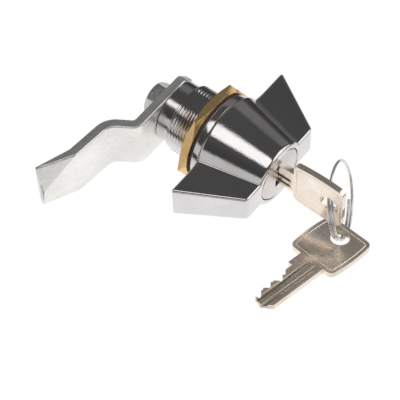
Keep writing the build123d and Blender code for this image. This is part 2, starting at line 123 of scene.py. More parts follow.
def filletPath(points, radii, steps):
    # A polyline whose corners are swapped for arcs; an arc meets its runs at radius / tan(half the angle).
    out = [np.array(points[0], float)]
    for before, corner, after, radius in zip(points[:-2], points[1:-1], points[2:], radii):
        inward, onward = unit(np.subtract(before, corner)), unit(np.subtract(after, corner))
        half = math.acos(float(inward @ onward)) / 2
        reach = radius / math.tan(half)
        centre = corner + unit(inward + onward) * radius / math.sin(half)
        start, end = corner + inward * reach - centre, corner + onward * reach - centre
        sweep = math.acos(float(start @ end) / radius**2)
        for share in np.linspace(0, 1, steps + 1):
            arm = (math.sin((1 - share) * sweep) * start + math.sin(share * sweep) * end) / math.sin(sweep)
            out.append(centre + arm)
    out.append(np.array(points[-1], float))
    return np.array(out)


def roundLoss(distance, radius):
    # How far a quarter-round edge has drawn in at a distance from the face it meets.
    inside = np.clip(radius - distance, 0, radius)
    return radius - np.sqrt(radius**2 - inside**2)


def spinGrid(profile, angles):
    # Carries a profile of (radius, y) points round the Y axis.
    radius = profile[:, :1]
    level = np.repeat(profile[:, 1:], len(angles), 1)
    return np.stack([radius * np.cos(angles), level, radius * np.sin(angles)], -1)


# Shader tools

def newMaterial(name):
    material = bpy.data.materials.new(name)
    material.use_nodes = True
    tree = material.node_tree
    return material, tree, tree.nodes["Principled BSDF"]


def startGroup(name, inputs, outputs):
    group = bpy.data.node_groups.new(name, "ShaderNodeTree")
    for label, value in inputs:
        socket = group.interface.new_socket(name=label, in_out="INPUT", socket_type="NodeSocketFloat")
        socket.default_value = value
    for label in outputs:
        group.interface.new_socket(name=label, in_out="OUTPUT", socket_type="NodeSocketFloat")
    return group, group.nodes.new("NodeGroupInput"), group.nodes.new("NodeGroupOutput")


def mathNode(tree, operation, first, second=None, clamp=False):
    node = tree.nodes.new("ShaderNodeMath")
    node.operation = operation
    node.use_clamp = clamp
    for socket, value in zip(node.inputs, (first, second)):
        if value is None:
            continue
        if isinstance(value, (int, float)):
            socket.default_value = value
        else:
            tree.links.new(value, socket)
    return node.outputs[0]


def noiseNode(tree, coordinates, scale, detail, rough=0.5):
    node = tree.nodes.new("ShaderNodeTexNoise")
    node.inputs["Detail"].default_value = detail
    node.inputs["Roughness"].default_value = rough
    tree.links.new(coordinates, node.inputs["Vector"])
    if isinstance(scale, (int, float)):
        node.inputs["Scale"].default_value = scale
    else:
        tree.links.new(scale, node.inputs["Scale"])
    return node.outputs["Fac"]


def rampNode(tree, value, stops):
    node = tree.nodes.new("ShaderNodeValToRGB")
    ramp = node.color_ramp
    while len(ramp.elements) < len(stops):
        ramp.elements.new(0.5)
    for element, (place, shade) in zip(ramp.elements, stops):
        element.position = place
        element.color = (*shade, 1) if isinstance(shade, tuple) else (shade, shade, shade, 1)
    tree.links.new(value, node.inputs["Fac"])
    return node.outputs["Color"]


def mixNode(tree, share, first, fixed):
    # Goes from the first colour to a fixed one as the share rises.
    node = tree.nodes.new("ShaderNodeMix")
    node.data_type = "RGBA"
    node.inputs["B"].default_value = (*fixed, 1)
    tree.links.new(share, node.inputs["Factor"])
    tree.links.new(first, node.inputs["A"])
    return node.outputs["Result"]


def groupNode(tree, group, **values):
    node = tree.nodes.new("ShaderNodeGroup")
    node.node_tree = group
    for label, value in values.items():
        node.inputs[label].default_value = value
    return node


def bumpInto(tree, height, shader, distance):
    node = tree.nodes.new("ShaderNodeBump")
    node.inputs["Distance"].default_value = distance
    tree.links.new(height, node.inputs["Height"])
    tree.links.new(node.outputs["Normal"], shader.inputs["Normal"])


castPattern = {
    "cloudScale": 70.0,
    "cellScale": 900.0,
    "pitReach": 0.16,
    "pitRise": 9.0,
    "pitDepth": 0.5,
    "patchScale": 420.0,
    "patchLevel": 0.6,
}
grainPattern = {
    "coarseShare": 0.3,
    "scratchLevel": 0.66,
    "scratchRise": 8.0,
    "scratchDepth": 0.6,
}


def makeCastSkin(pattern):
    # Plated castings: a slow ripple under the plate, a finer one on it, and small pits that come and go.
    group, given, result = startGroup(
        "castSkin",
        [("Ripple", 260.0), ("Grain", 1500.0), ("Pits", 0.5), ("Peel", 0.18)],
        ["Height", "Pit", "Cloud"],
    )

    def calc(operation, first, second, clamp=False):
        return mathNode(group, operation, first, second, clamp)

    place = group.nodes.new("ShaderNodeTexCoord").outputs["Object"]
    ripple = noiseNode(group, place, given.outputs["Ripple"], 2.0, 0.4)
    grain = noiseNode(group, place, given.outputs["Grain"], 2.0, 0.5)
    cloud = noiseNode(group, place, pattern["cloudScale"], 4.0, 0.6)
    cell = group.nodes.new("ShaderNodeTexVoronoi")
    cell.inputs["Scale"].default_value = pattern["cellScale"]
    group.links.new(place, cell.inputs["Vector"])
    speck = calc("SUBTRACT", pattern["pitReach"], cell.outputs["Distance"])
    speck = calc("MULTIPLY", speck, pattern["pitRise"], clamp=True)
    patch = calc("GREATER_THAN", noiseNode(group, place, pattern["patchScale"], 1.0), pattern["patchLevel"])
    pit = calc("MULTIPLY", calc("MULTIPLY", speck, patch), given.outputs["Pits"])
    height = calc("ADD", ripple, calc("MULTIPLY", grain, given.outputs["Peel"]))
    height = calc("SUBTRACT", height, calc("MULTIPLY", pit, pattern["pitDepth"]))
    for label, value in (("Height", height), ("Pit", pit), ("Cloud", cloud)):
        group.links.new(value, result.inputs[label])
    return group


def makeDrawnGrain(pattern):
    # Rolled, drawn or ground metal: noise stretched along one axis, with rarer deep scratches among it.
    group, given, result = startGroup(
        "drawnGrain",
        [("Along X", 1.0), ("Along Y", 1.0), ("Along Z", 1.0), ("Fineness", 1200.0)],
        ["Height", "Scratch"],
    )

    def calc(operation, first, second, clamp=False):
        return mathNode(group, operation, first, second, clamp)

    place = group.nodes.new("ShaderNodeTexCoord").outputs["Object"]
    stretch = group.nodes.new("ShaderNodeCombineXYZ")
    for axis in "XYZ":
        group.links.new(given.outputs["Along " + axis], stretch.inputs[axis])
    scaled = group.nodes.new("ShaderNodeVectorMath")
    scaled.operation = "MULTIPLY"
    group.links.new(place, scaled.inputs[0])
    group.links.new(stretch.outputs[0], scaled.inputs[1])
    fineness = given.outputs["Fineness"]
    fine = noiseNode(group, scaled.outputs[0], fineness, 3.0, 0.6)
    coarse = noiseNode(group, scaled.outputs[0], calc("MULTIPLY", fineness, pattern["coarseShare"]), 2.0)
    deep = calc("SUBTRACT", coarse, pattern["scratchLevel"])
    deep = calc("MULTIPLY", deep, pattern["scratchRise"], clamp=True)
    height = calc("SUBTRACT", fine, calc("MULTIPLY", deep, pattern["scratchDepth"]))
    group.links.new(height, result.inputs["Height"])
    group.links.new(deep, result.inputs["Scratch"])
    return group


castSkin = makeCastSkin(castPattern)
drawnGrain = makeDrawnGrain(grainPattern)

chromeFinish = {
    "tint": (0.80, 0.785, 0.79),
    "dullTint": (0.66, 0.645, 0.65),
    "roughness": (0.05, 0.14),
    "rippleDepth": 0.00003,
    "peelScale": 2800.0,
    "peel": 0.55,
}
satinFinish = {
    "tint": (0.84, 0.80, 0.785),
    "dullTint": (0.74, 0.70, 0.69),
    "roughness": (0.34, 0.46),
    "rippleDepth": 0.00002,
    "peelScale": 2200.0,
    "peel": 0.3,
}
zincFinish = {
    "bright": (0.93, 0.925, 0.905),
    "dull": (0.78, 0.775, 0.75),
    "roughness": (0.24, 0.40),
    "grainDepth": 0.000018,
    "metallic": 0.95,
}
nutFinish = {
    "bright": (0.92, 0.64, 0.32),
    "dull": (0.78, 0.50, 0.21),
    "roughness": (0.15, 0.25),
    "grainDepth": 0.000006,
    "metallic": 0.93,
}
keyFinish = {
    "bright": (0.99, 0.90, 0.81),
    "dull": (0.84, 0.72, 0.59),
    "roughness": (0.20, 0.36),
    "grainDepth": 0.000008,
    "metallic": 0.95,
}
steelFinish = {
    "bright": (0.78, 0.775, 0.76),
    "dull": (0.52, 0.51, 0.50),
    "roughness": (0.14, 0.30),
    "grainDepth": 0.000012,
    "metallic": 0.95,
}
wireFinish = {
    "bright": (0.84, 0.835, 0.82),
    "dull": (0.60, 0.59, 0.58),
    "roughness": (0.16, 0.30),
    "grainDepth": 0.000006,
    "metallic": 0.92,
}
waferFinish = {
    "bright": (0.80, 0.60, 0.30),
    "dull": (0.56, 0.38, 0.18),
    "roughness": (0.26, 0.44),
    "grainDepth": 0.000012,
    "metallic": 0.9,
}

rubberFinish = {
    "shade": (0.010, 0.028),
    "roughness": (0.45, 0.66),
    "rippleDepth": 0.00002,
}
pitTint = (0.10, 0.095, 0.09)
# Painted shade: the colour of the dark line painted along the cam tip's edge in place of a dark reflection,
# and how strongly it shows
paintedDarkLineTint = (0.20, 0.20, 0.195)
paintedDarkLineShare = 0.8
# Where in the clouds or the grain each look starts to change, and where the change is full
lookBands = {
    "plateRoughness": (0.32, 0.72),
    "plateTint": (0.35, 0.85),
    "grainRoughness": (0.3, 0.75),
    "tarnishAndGrooveShade": (0.3, 0.62),
    "rubber": (0.3, 0.7),
}


def bandNode(tree, value, band, shades):
    return rampNode(tree, value, list(zip(lookBands[band], shades)))


def makeChrome(name, finish):
    # Plate that is duller and rougher in slow clouds, and dark in its pits.
    material, tree, shader = newMaterial(name)
    skin = groupNode(tree, castSkin, Ripple=330.0, Grain=finish["peelScale"], Pits=0.6, Peel=finish["peel"])
    cloud = skin.outputs["Cloud"]
    tree.links.new(bandNode(tree, cloud, "plateRoughness", finish["roughness"]), shader.inputs["Roughness"])
    cloudTint = bandNode(tree, cloud, "plateTint", (finish["tint"], finish["dullTint"]))
    tree.links.new(mixNode(tree, skin.outputs["Pit"], cloudTint, pitTint), shader.inputs["Base Color"])
    shader.inputs["Metallic"].default_value = 1.0
    bumpInto(tree, skin.outputs["Height"], shader, finish["rippleDepth"])
    return material


def makeWorkedMetal(name, finish, along, fineness=900.0):
    # Metal with a grain along one axis, cloudy tarnish, and duller scratches.
    material, tree, shader = newMaterial(name)
    grain = groupNode(tree, drawnGrain, Fineness=fineness)
    grain.inputs["Along " + along].default_value = 0.06
    skin = groupNode(tree, castSkin, Ripple=180.0, Grain=900.0, Pits=0.25)
    height = grain.outputs["Height"]
    tree.links.new(bandNode(tree, height, "grainRoughness", finish["roughness"]), shader.inputs["Roughness"])
    cloudTint = bandNode(tree, skin.outputs["Cloud"], "tarnishAndGrooveShade", (finish["dull"], finish["bright"]))
    tint = mixNode(tree, grain.outputs["Scratch"], cloudTint, finish["dull"])
    tree.links.new(tint, shader.inputs["Base Color"])
    shader.inputs["Metallic"].default_value = finish["metallic"]
    height = mathNode(tree, "ADD", height, mathNode(tree, "MULTIPLY", skin.outputs["Height"], 0.8))
    bumpInto(tree, height, shader, finish["grainDepth"])
    return material


def makeCamMetal(finish):
    # The cam's zinc plate, with a dark line painted along its tip's edge: painted shade standing in for a
    # dark reflection there.
    material = makeWorkedMetal("camZinc", finish, "X")
    tree = material.node_tree
    tint = tree.nodes["Principled BSDF"].inputs["Base Color"]
    # Mixes the painted shade of the tip's dark line into the zinc's colour
    reader = tree.nodes.new("ShaderNodeAttribute")
    reader.attribute_name = "paintedDarkLine"
    darkLineMask = mathNode(tree, "MULTIPLY", reader.outputs["Fac"], paintedDarkLineShare)
    tree.links.new(mixNode(tree, darkLineMask, tint.links[0].from_socket, paintedDarkLineTint), tint)
    return material


def makeRubber(finish):
    material, tree, shader = newMaterial("blackRubber")
    skin = groupNode(tree, castSkin, Ripple=600.0, Grain=2600.0, Pits=0.3)
    for label, shades in (("Base Color", finish["shade"]), ("Roughness", finish["roughness"])):
        tree.links.new(bandNode(tree, skin.outputs["Cloud"], "rubber", shades), shader.inputs[label])
    bumpInto(tree, skin.outputs["Height"], shader, finish["rippleDepth"])
    return material


polishedChrome = makeChrome("polishedChrome", chromeFinish)
satinChrome = makeChrome("satinChrome", satinFinish)
zincPlate = makeWorkedMetal("zincPlate", zincFinish, "X")
camZinc = makeCamMetal(zincFinish)
nutBrass = makeWorkedMetal("nutBrass", nutFinish, "Y", 700.0)
keyNickel = makeWorkedMetal("keyNickel", keyFinish, "Y", 1100.0)
brightSteel = makeWorkedMetal("brightSteel", steelFinish, "Z")
ringWire = makeWorkedMetal("ringWire", wireFinish, "Z", 1500.0)
waferBrass = makeWorkedMetal("waferBrass", waferFinish, "Z")
blackRubber = makeRubber(rubberFinish)
finishes = {
    "chrome_plate": polishedChrome,
    "zinc_plate": zincPlate,
    "bright_steel": brightSteel,
    "nut_brass": nutBrass,
    "wafer_brass": waferBrass,
    "black_rubber": blackRubber,
    "key_nickel": keyNickel,
    "ring_wire": ringWire,
}
print("materials made:", len(finishes))


# Wing knob: a cone with two wings. Each section across the axis is a loop of the same count of points, and
# the loops run along the outside, over the back, and forward again through the bore.
knobShape = {
    "front": -22.5,
    "rear": -2.6,
    "wingRear": -3.1,
    "coneRear": 15.2,
    "coneFront": 10.5,
    "wingReach": (27.1, 15.9),
    "halfThickness": (6.0, 5.0),
    "cornerRound": 0.85,
    "leastCorner": 0.15,
    "planRound": 0.9,
    "edgeRound": 0.75,
    "junctionRound": 0.45,
    "faceBore": 8.85,
    "boreLip": 0.22,
    "webFront": -4.2,
    "bossRadius": 8.5,
    "bossRear": -2.25,
    "driverHole": 3.1,
    "rearRim": 1.2,
}


def knobLoops(share, inset, shape):
    # One section for each share of the length (0 at the rear), drawn in by inset. A quarter of it is the
    # wing's outer side, its corner, its top, the hollow where it meets the cone, and the cone's arc.
    share, inset = share[:, None], inset[:, None]
    length = shape["rear"] - shape["front"]
    (rearReach, frontReach), (rearHalf, frontHalf) = shape["wingReach"], shape["halfThickness"]
    cone = shape["coneRear"] + (shape["coneFront"] - shape["coneRear"]) * share - inset
    wide = rearReach + (frontReach - rearReach) * share - inset
    for fromEnd in (share * length, (1 - share) * length):
        wide = wide - roundLoss(fromEnd, shape["planRound"])
    half = rearHalf + (frontHalf - rearHalf) * share - inset
    corner = np.maximum(shape["cornerRound"] - inset, shape["leastCorner"])
    hollow = shape["junctionRound"] + inset
    meet = np.sqrt((cone + hollow) ** 2 - (half + hollow) ** 2)
    side = np.linspace(0, 1, 9)[None, :-1]
    turn = np.linspace(0, math.pi / 2, 8)[None, :-1]
    top = np.linspace(0, 1, 22)[None, :-1]
    dip = np.arctan2(half + hollow, meet)
    dipShare = np.linspace(0, 1, 8)[None, :-1]
    dipAngle = -math.pi / 2 + (dip - math.pi / 2) * dipShare
    arcShare = np.linspace(0, 1, 40)[None, :-1]
    arc = dip + (math.pi / 2 - dip) * arcShare
    x = np.hstack([
        wide + 0 * side,
        wide - corner + corner * np.cos(turn),
        (wide - corner) + (meet - wide + corner) * top,
        meet + hollow * np.cos(dipAngle),
        cone * np.cos(arc),
    ])
    z = np.hstack([
        (half - corner) * side,
        half - corner + corner * np.sin(turn),
        half + 0 * top,
        half + hollow + hollow * np.sin(dipAngle),
        cone * np.sin(arc),
    ])
    onWing = np.ones(side.size + turn.size + top.size)
    wingPart = np.hstack([onWing, 1 - dipShare[0], np.zeros(arc.shape[1])])
    peak = np.stack([0 * cone, cone], -1)
    quarter = np.stack([x, z], -1)
    rising = np.concatenate([quarter, peak], 1)
    mirrored = quarter[:, 1:][:, ::-1] * [-1, 1]
    halfLoop = np.concatenate([rising, mirrored, np.stack([-wide, 0 * wide], -1)], 1)
    lower = halfLoop[:, 1:-1][:, ::-1] * [1, -1]
    risingPart = np.append(wingPart, 0)
    halfPart = np.concatenate([risingPart, wingPart[1:][::-1], [1.0]])
    return np.concatenate([halfLoop, lower], 1), np.concatenate([halfPart, halfPart[1:-1][::-1]])


def makeKnob(shape):
    edge = shape["edgeRound"]
    length = shape["rear"] - shape["front"]
    turn = np.linspace(0, math.pi / 2, 7)
    middle = np.linspace(edge, length - edge, 26)[1:-1]
    fromRear = np.concatenate([edge - edge * np.cos(turn), middle, length - edge + edge * np.sin(turn)])
    inset = np.concatenate([edge - edge * np.sin(turn), 0 * middle, edge - edge * np.cos(turn)])
    loops, wingPart = knobLoops(fromRear / length, inset, shape)
    wingGap = (shape["rear"] - shape["wingRear"]) * wingPart
    y = shape["rear"] - wingGap[None, :] - fromRear[:, None] * (length - wingGap[None, :]) / length
    outside = np.stack([loops[..., 0], y, loops[..., 1]], -1)
    angles = np.arctan2(outside[-1, :, 2], outside[-1, :, 0])
    circle = np.stack([np.cos(angles), np.sin(angles)], -1)

    def ring(radius, y):
        return np.stack([radius * circle[:, 0], np.full(len(angles), y), radius * circle[:, 1]], -1)

    lip = shape["boreLip"]
    faceRing = ring(shape["faceBore"] + lip, shape["front"])
    face = [outside[-1] + (faceRing - outside[-1]) * step for step in (0.34, 0.67, 1.0)]
    lipRings = [
        ring(shape["faceBore"] + lip * (1 - math.sin(a)), shape["front"] + lip * (1 - math.cos(a)))
        for a in (0.5, 1.05, 1.57)
    ]
    inner = [
        ring(shape["faceBore"], shape["webFront"]),
        ring(shape["driverHole"], shape["webFront"]),
        ring(shape["driverHole"], shape["bossRear"]),
        ring(shape["bossRadius"], shape["bossRear"]),
        ring(shape["bossRadius"], shape["rear"]),
    ]
    rearRing = ring(shape["coneRear"] - shape["rearRim"], shape["rear"])
    grid = np.array([*outside, *face, *lipRings, *inner, rearRing])
    return finishMesh(gridMesh("wingKnobShell", grid, True, True), 34)


addPiece("wingKnobShell", makeKnob(knobShape), "knob", polishedChrome, "chrome_plate", ["wing_knob"])
print("knob made")


# Housing: flange, body with a real thread cut round it, two flats and a smooth side land, and the nose
housingShape = {
    "flangeRadius": 14.25,
    "flangeFront": -2.3,
    "flangeRound": 0.35,
    "bodyRadius": 11.0,
    "threadPitch": 1.0,
    "threadDepth": 0.3,
    "threadEnd": 12.0,
    "threadChamfer": 0.7,
    "crestShare": 0.14,
    "flankShare": 0.72,
    "fadeIn": 0.8,
    "fadeOut": 0.5,
    "rowStep": 0.09,
    "flatHalf": 10.3,
    "landRadius": 10.55,
    "landAngles": (177.0, 212.0),
    "landBlend": 0.03,
    "noseRadius": 9.8,
    "noseShoulder": 0.4,
    "noseEnd": 16.5,
    "noseChamfer": 0.35,
    "bore": 6.05,
    "counterbore": 8.7,
    "counterboreFloor": 2.0,
    "slotFloor": -0.55,
    "notchReach": 11.1,
    "notchHalf": 3.1,
    "stopRadius": 10.0,
    "stopSide": 1.6,
}


def slotWall(shape, angles):
    # How far the counterbore's front part reaches at each angle: the bolt's two notches, a quarter turn
    # apart, and the stop's quarter slot. A ray meets a notch's end or its side, whichever is nearer.
    wall = np.full(len(angles), shape["counterbore"])
    for middle in (0, math.pi / 2):
        onward, aside = np.cos(angles - middle), np.abs(np.sin(angles - middle))
        end = shape["notchReach"] / np.maximum(onward, 0.01)
        side = shape["notchHalf"] / np.maximum(aside, 0.01)
        wall = np.where(onward > 0, np.maximum(wall, np.minimum(end, side)), wall)
    inSlot = shape["stopRadius"] * np.maximum(np.cos(angles), np.sin(angles)) < shape["stopSide"]
    return np.where(inSlot, np.maximum(wall, shape["stopRadius"]), wall)


def makeHousing(shape):
    edge, front = shape["flangeRound"], shape["flangeFront"]
    corner = shape["flangeRadius"] - edge
    turn = np.linspace(0, math.pi / 2, 6)
    frontEdge = np.stack([corner + edge * np.sin(turn), front + edge - edge * np.cos(turn)], -1)
    rearEdge = np.stack([corner + edge * np.cos(turn), -edge + edge * np.sin(turn)], -1)
    threadEnd, chamfer = shape["threadEnd"], shape["noseChamfer"]
    threadY = np.arange(0.0, threadEnd + 0.01, shape["rowStep"])
    body = np.stack([np.full(len(threadY), shape["bodyRadius"]), threadY], -1)
    tail = np.array([
        (shape["noseRadius"], threadEnd),
        (shape["noseRadius"], threadEnd + shape["noseShoulder"]),
        (shape["noseRadius"], shape["noseEnd"] - chamfer),
        (shape["noseRadius"] - chamfer, shape["noseEnd"]),
        (shape["bore"], shape["noseEnd"]),
        (shape["bore"], shape["counterboreFloor"]),
        (shape["counterbore"], shape["counterboreFloor"]),
        (shape["counterbore"], shape["slotFloor"]),
        (shape["counterbore"], shape["slotFloor"]),
        (shape["counterbore"], front),
    ])
    profile = np.concatenate([frontEdge, rearEdge, body, tail])
    angles = np.linspace(0, 2 * math.pi, 360, endpoint=False)
    grid = spinGrid(profile, angles)
    # The thread: depth follows a triangle wave of the distance along the axis less the share of a turn,
    # with flat crests, and it fades at both ends.
    y = threadY[:, None]
    wave = np.abs(2 * np.mod(y / shape["threadPitch"] - angles[None, :] / (2 * math.pi), 1) - 1)
    groove = np.clip((wave - shape["crestShare"]) / shape["flankShare"], 0, 1)
    fade = np.clip(y / shape["fadeIn"], 0, 1) * np.clip((threadEnd - y) / shape["fadeOut"], 0, 1)
    radius = shape["bodyRadius"] - shape["threadDepth"] * groove * fade
    radius = radius - roundLoss(threadEnd - y, shape["threadChamfer"])
    low, high = np.radians(shape["landAngles"])
    onLand = np.clip(np.minimum(angles - low, high - angles) / shape["landBlend"] + 0.5, 0, 1)[None, :]
    radius = radius * (1 - onLand) + shape["landRadius"] * onLand
    threadRows = slice(len(frontEdge) + len(rearEdge), len(profile) - len(tail))
    grid[threadRows, :, 0] = radius * np.cos(angles)
    grid[threadRows, :, 2] = np.clip(radius * np.sin(angles), -shape["flatHalf"], shape["flatHalf"])
    # The last two rows open out into the notches and the slot.
    wall = slotWall(shape, angles)
    grid[-2:, :, 0] = wall * np.cos(angles)
    grid[-2:, :, 2] = wall * np.sin(angles)
    return finishMesh(gridMesh("threadedHousing", grid, True, True), 32)


housingMesh = makeHousing(housingShape)
addPiece("threadedHousing", housingMesh, "housing", polishedChrome, "chrome_plate", ["housing"])
print("housing made")


# Cam: a strip carried along its bent path, with rounded long edges and the tip's two sloping bevels
camShape = {
    "path": [(8.5, 16.6), (-16.9, 16.6), (-21.6, 24.1), (-35.2, 25.1), (-46.6, 29.0)],
    "bends": [4.4, 4.6, 5.0],
    "bendSteps": 16,
    "thickness": 3.0,
    "halfWidth": 9.0,
    "endCorner": 3.2,
    "edgeRound": 0.5,
    "upperBevel": 2.3,
    "lowerBevel": 1.5,
    "ridgeLevel": -1.0,
    "thinnest": 0.2,
    "narrowest": 0.08,
    "stepLength": 0.7,
    # Two extra rows near the tip, and how far along and across the tip the painted dark line (painted shade)
    # reaches
    "darkLineRows": (0.34, 0.28),
    "darkLineLength": 0.3,
    "darkLineDepth": 2.6,
    "creaseAngle": 4.5,
}


def makeCam(shape):
    path = filletPath(shape["path"], shape["bends"], shape["bendSteps"])
    steps = []
    for first, second in zip(path[:-1], path[1:]):
        count = max(1, int(np.linalg.norm(second - first) / shape["stepLength"]))
        steps.append(first + (second - first) * np.linspace(0, 1, count, endpoint=False)[:, None])
    # Two extra rows just before the tip, where the painted dark line of shade begins
    paintedDarkLine = path[-1] - unit(path[-1] - path[-2]) * np.array(shape["darkLineRows"])[:, None]
    path = np.concatenate([*steps, paintedDarkLine, path[-1:]])
    along = unitRows(np.gradient(path, axis=0))
    behind = np.stack([along[:, 1], -along[:, 0]], -1)
    travelled = np.concatenate([[0], np.cumsum(np.linalg.norm(np.diff(path, axis=0), axis=1))])
    tipLength = np.linalg.norm(np.subtract(shape["path"][-1], shape["path"][-2]))
    share = (1 - (travelled[-1] - travelled) / tipLength)[:, None]
    # Each row runs across the strip: a rounded edge, the lower bevel, the flat between the two bevels, the
    # upper bevel and the other rounded edge. The bevels' inner lines run from the bend's corners to the
    # ridge at the tip.
    half, ridge, edge = shape["halfWidth"], shape["ridgeLevel"], shape["edgeRound"]
    reach = half - np.clip(shape["endCorner"] - travelled, 0, None)[:, None]
    bound = reach - edge - shape["narrowest"]
    low = np.clip(ridge - (1 - share) * (ridge + half), -bound, None)
    high = np.clip(ridge + (1 - share) * (half - ridge), None, bound)
    turn = np.linspace(0, math.pi / 2, 6)[None, :]
    lowTurn, highTurn = turn[:, :-1], turn[:, 1:]
    lowRound, highRound = -reach + edge - edge * np.cos(lowTurn), reach - edge + edge * np.sin(highTurn)
    lowFlat = -(reach - edge) + (low + reach - edge) * np.linspace(0, 1, 5)[None, :-1]
    middle = low + (high - low) * np.linspace(0, 1, 19)[None, :-1]
    highFlat = high + (reach - edge - high) * np.linspace(0, 1, 10)[None, :]
    across = np.hstack([lowRound, lowFlat, middle, highFlat, highRound])
    dip = np.hstack([
        edge - edge * np.sin(lowTurn) + 0 * reach,
        0 * lowFlat, 0 * middle, 0 * highFlat,
        edge - edge * np.cos(highTurn) + 0 * reach,
    ])
    over = shape["upperBevel"] * np.clip(share + (across - ridge) / (half - ridge) - 1, 0, None)
    under = shape["lowerBevel"] * np.clip(share + (ridge - across) / (half + ridge) - 1, 0, None)
    front = np.minimum(dip + over + under, shape["thickness"] - dip - shape["thinnest"])

    def lay(depth, width):
        place = path[:, None, :] + behind[:, None, :] * depth[..., None]
        return np.concatenate([place, width[..., None]], -1)

    grid = np.concatenate([lay(front, across), lay((shape["thickness"] - dip)[:, ::-1], across[:, ::-1])], 1)
    caps = [np.broadcast_to(row.mean(0), row.shape)[None] for row in (grid[0], grid[-1])]
    mesh = finishMesh(gridMesh("bentCam", np.concatenate([caps[0], grid, caps[1]], 0), False, True), 30)
    creaseBevels(mesh, shape)
    markPaintedDarkLine(mesh, shape, abs(along[-1, 0]))
    return mesh


def creaseBevels(mesh, shape):
    # Keeps the bevels' fold lines on the tip crisp.
    work = bmesh.new()
    work.from_mesh(mesh)
    tip = shape["path"][-2][0] * mm
    flatHalf = (shape["halfWidth"] - shape["edgeRound"] + 0.01) * mm
    for crease in work.edges:
        onFlat = max(abs(v.co.z) for v in crease.verts) < flatHalf
        onTip = max(v.co.x for v in crease.verts) < tip
        if onFlat and onTip and crease.calc_face_angle(0) > math.radians(shape["creaseAngle"]):
            crease.smooth = False
    work.to_mesh(mesh)
    work.free()


def markPaintedDarkLine(mesh, shape, slant):
    # 1 on the last rows of the tip's front, where the dark line of painted shade goes.
    points = np.empty(len(mesh.vertices) * 3, np.float32)
    mesh.vertices.foreach_get("co", points)
    x, y = points.reshape(-1, 3)[:, :2].T / mm
    endX, endY = shape["path"][-1]
    darkLineMask = (np.abs(x - endX) < shape["darkLineLength"] * slant + 0.01) & (y < endY + shape["darkLineDepth"])
    mesh.attributes.new("paintedDarkLine", "FLOAT", "POINT").data.foreach_set("value", darkLineMask.astype(np.float32))


addPiece("bentCam", makeCam(camShape), "knob", camZinc, "zinc_plate", ["cam"])
print("cam made")


# Split ring: one wire wound about one and a half times round, left-handed, with rounded ends
ringShape = {
    "centre": (7.4317, -39.5186, -7.0935),
    "axis": (0.411292, -0.875375, 0.254081),
    "freeEnd": (0.62, 0.06, -0.782),
    "radius": 11.7,
    "wire": 0.45,
    "gap": 0.16,
    "levelTurn": 0.875,
    "turns": 1.55,
    "hand": -1,
    "endBulge": 0.5,
    "lineSteps": 300,
    "wireSides": 24,
}


def makeRing(shape):
    # The wire's line is a helix about the ring's axis, from the free end, and it rises by a pitch a turn.
    # Its section is a circle in the line's own frame, and the last few circles close it as a flat dome.
    axis, wire = unit(shape["axis"]), shape["wire"]
    sideA = unit(np.array(shape["freeEnd"]) - axis * (axis @ np.array(shape["freeEnd"])))
    sideB = np.cross(axis, sideA)
    turns = np.linspace(0, shape["turns"], shape["lineSteps"])[:, None]
    height = (2 * wire + shape["gap"]) * (turns - shape["levelTurn"])
    angle = 2 * math.pi * turns * shape["hand"]
    line = np.array(shape["centre"]) + height * axis
    line = line + shape["radius"] * (np.cos(angle) * sideA + np.sin(angle) * sideB)
    along = unitRows(np.gradient(line, axis=0))
    outward = unitRows(np.cross(along, axis))
    upward = np.cross(outward, along)
    around = np.linspace(0, 2 * math.pi, shape["wireSides"], endpoint=False)[None, :, None]
    circle = np.cos(around) * outward[:, None] + np.sin(around) * upward[:, None]
    tube = line[:, None] + wire * circle
    caps = []
    for end, way in ((0, -shape["endBulge"]), (-1, shape["endBulge"])):
        bow = np.linspace(0, math.pi / 2, 6)[1:, None, None]
        caps.append(line[end] + wire * (np.cos(bow) * circle[end] + way * np.sin(bow) * along[end]))
    grid = np.concatenate([caps[0][::-1], tube, caps[1]])
    return finishMesh(gridMesh("splitRing", grid, False, True), 60)


addPiece("splitRing", makeRing(ringShape), "ring", ringWire, "ring_wire", ["key_ring"])
print("ring made")


# Stamped, turned and small pieces keep the frame's shape and get softened edges
softEdge = {
    # Points within this many metres are merged, and faces that fold by less than this angle are joined
    "weld": 1e-6,
    "flatAngle": 1.2,
    "sharpAngle": 28.0,
    "segments": 2,
}


def weldFlat(mesh):
    # Merges a node's loose triangles and makes its flat faces whole again.
    flatAngle = math.radians(softEdge["flatAngle"])
    work = bmesh.new()
    work.from_mesh(mesh)
    bmesh.ops.remove_doubles(work, verts=work.verts, dist=softEdge["weld"])
    bmesh.ops.dissolve_limit(work, angle_limit=flatAngle, verts=work.verts, edges=work.edges)
    work.to_mesh(mesh)
    work.free()
    return mesh


def cutAway(node, bars):
    # The node's own shape, merged, less the bars, as a new mesh.
    blank = placeObject(node + "Blank", weldFlat(cadNodes[node].data.copy()))
    cutter = placeObject(node + "Cutter", bars)
    cut = blank.modifiers.new("cut", "BOOLEAN")
    cut.operation, cut.solver, cut.object = "DIFFERENCE", "EXACT", cutter
    mesh = bpy.data.meshes.new_from_object(blank.evaluated_get(bpy.context.evaluated_depsgraph_get()))
    for item in (blank, cutter):
        bpy.data.objects.remove(item)
    return mesh


def softenNode(mesh, name, body, material, slotName, width, node):
    sharpAngle = math.radians(softEdge["sharpAngle"])
    weldFlat(mesh)
    mesh.name = name
    mesh.shade_smooth()
    mesh.set_sharp_from_angle(angle=sharpAngle)
    piece = addPiece(name, mesh, body, material, slotName, [node])
    bevel = piece.modifiers.new("softEdge", "BEVEL")
    bevel.width = width * mm
    bevel.segments = softEdge["segments"]
    bevel.limit_method = "ANGLE"
    bevel.angle_limit = sharpAngle
    bevel.use_clamp_overlap = True
    bevel.harden_normals = True
    print(name, "softened")


